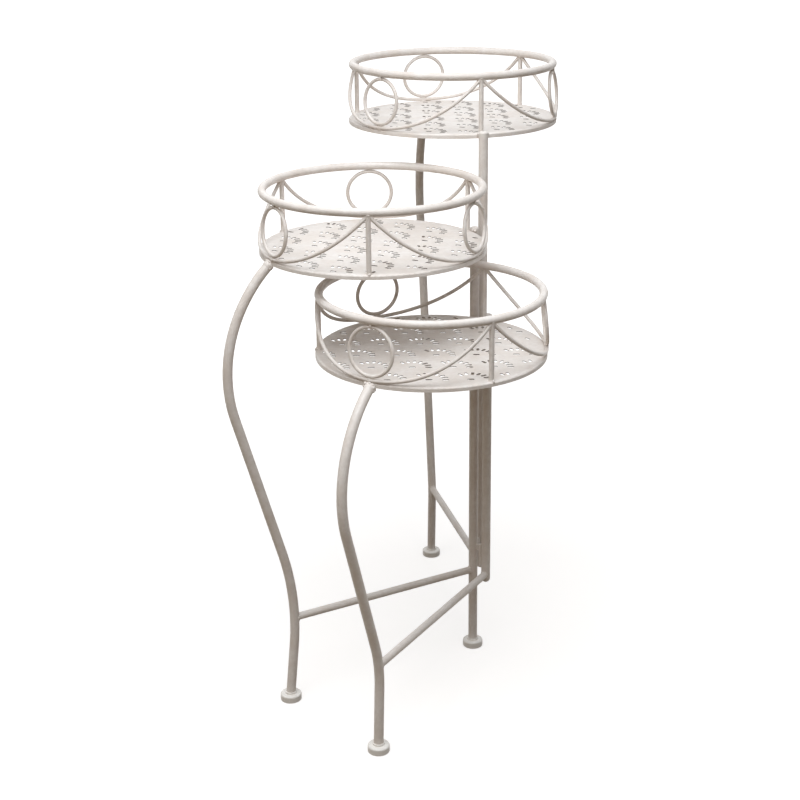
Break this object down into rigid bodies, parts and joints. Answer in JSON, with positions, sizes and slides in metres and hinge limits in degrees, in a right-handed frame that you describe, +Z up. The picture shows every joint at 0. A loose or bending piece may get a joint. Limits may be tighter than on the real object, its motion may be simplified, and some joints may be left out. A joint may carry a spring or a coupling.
{
  "type": "plant stand",
  "caption": "Folding tiered plant stand: round punched tray baskets with swag and ring rails on bent tube legs, hinged together at their straight posts.",
  "frame": {"origin": "on the floor, at the centre of the underside of the mid unit's post foot", "axes": "+Z up along the mid unit's post; +Y away from the viewer of the front, towards the tall unit; +X to the viewer's right"},
  "size_m": [0.4206, 0.6584, 0.7795],
  "materials": {
    "paint": "satin cream paint over welded steel tube, rod and sheet",
    "foot_plastic": "glossy cream plastic feet"
  },
  "bodies": {
    "mid_unit": {"mid_tray": "paint", "mid_rim": "paint", "mid_baluster_1": "paint", "mid_baluster_2": "paint", "mid_baluster_3": "paint", "mid_ring_1": "paint", "mid_ring_2": "paint", "mid_ring_3": "paint", "mid_swag_1": "paint", "mid_swag_2": "paint", "mid_swag_3": "paint", "mid_leg": "paint", "mid_leg_foot": "foot_plastic", "mid_post": "paint", "mid_post_cap": "paint", "mid_brace": "paint", "mid_post_foot": "foot_plastic", "low_lower_hinge_fixed_knuckle": "paint", "low_upper_hinge_fixed_knuckle": "paint", "low_hinge_pins": "paint", "tall_lower_hinge_fixed_knuckle": "paint", "tall_upper_hinge_fixed_knuckle": "paint", "tall_hinge_pins": "paint"},
    "low_unit": {"low_tray": "paint", "low_rim": "paint", "low_baluster_1": "paint", "low_baluster_2": "paint", "low_baluster_3": "paint", "low_ring_1": "paint", "low_ring_2": "paint", "low_ring_3": "paint", "low_swag_1": "paint", "low_swag_2": "paint", "low_swag_3": "paint", "low_leg": "paint", "low_leg_foot": "foot_plastic", "low_post": "paint", "low_post_cap": "paint", "low_brace": "paint", "low_lower_hinge_swing_knuckle": "paint", "low_upper_hinge_swing_knuckle": "paint"},
    "tall_unit": {"tall_tray": "paint", "tall_rim": "paint", "tall_baluster_1": "paint", "tall_baluster_2": "paint", "tall_baluster_3": "paint", "tall_ring_1": "paint", "tall_ring_2": "paint", "tall_ring_3": "paint", "tall_swag_1": "paint", "tall_swag_2": "paint", "tall_swag_3": "paint", "tall_leg": "paint", "tall_leg_foot": "foot_plastic", "tall_post": "paint", "tall_post_cap": "paint", "tall_brace": "paint", "tall_lower_hinge_swing_knuckle": "paint", "tall_upper_hinge_swing_knuckle": "paint"}
  },
  "joints": [
    {"name": "low_hinge", "type": "hinge", "parent": "mid_unit", "child": "low_unit", "pos_m": [0.00958, -0.00878, 0.13915], "axis": [0, 0, 1], "range_deg": [-25, 55]},
    {"name": "tall_hinge", "type": "hinge", "parent": "mid_unit", "child": "tall_unit", "pos_m": [0.0065, 0.01126, 0.13915], "axis": [0, 0, 1], "range_deg": [-55, 100]}
  ]
}
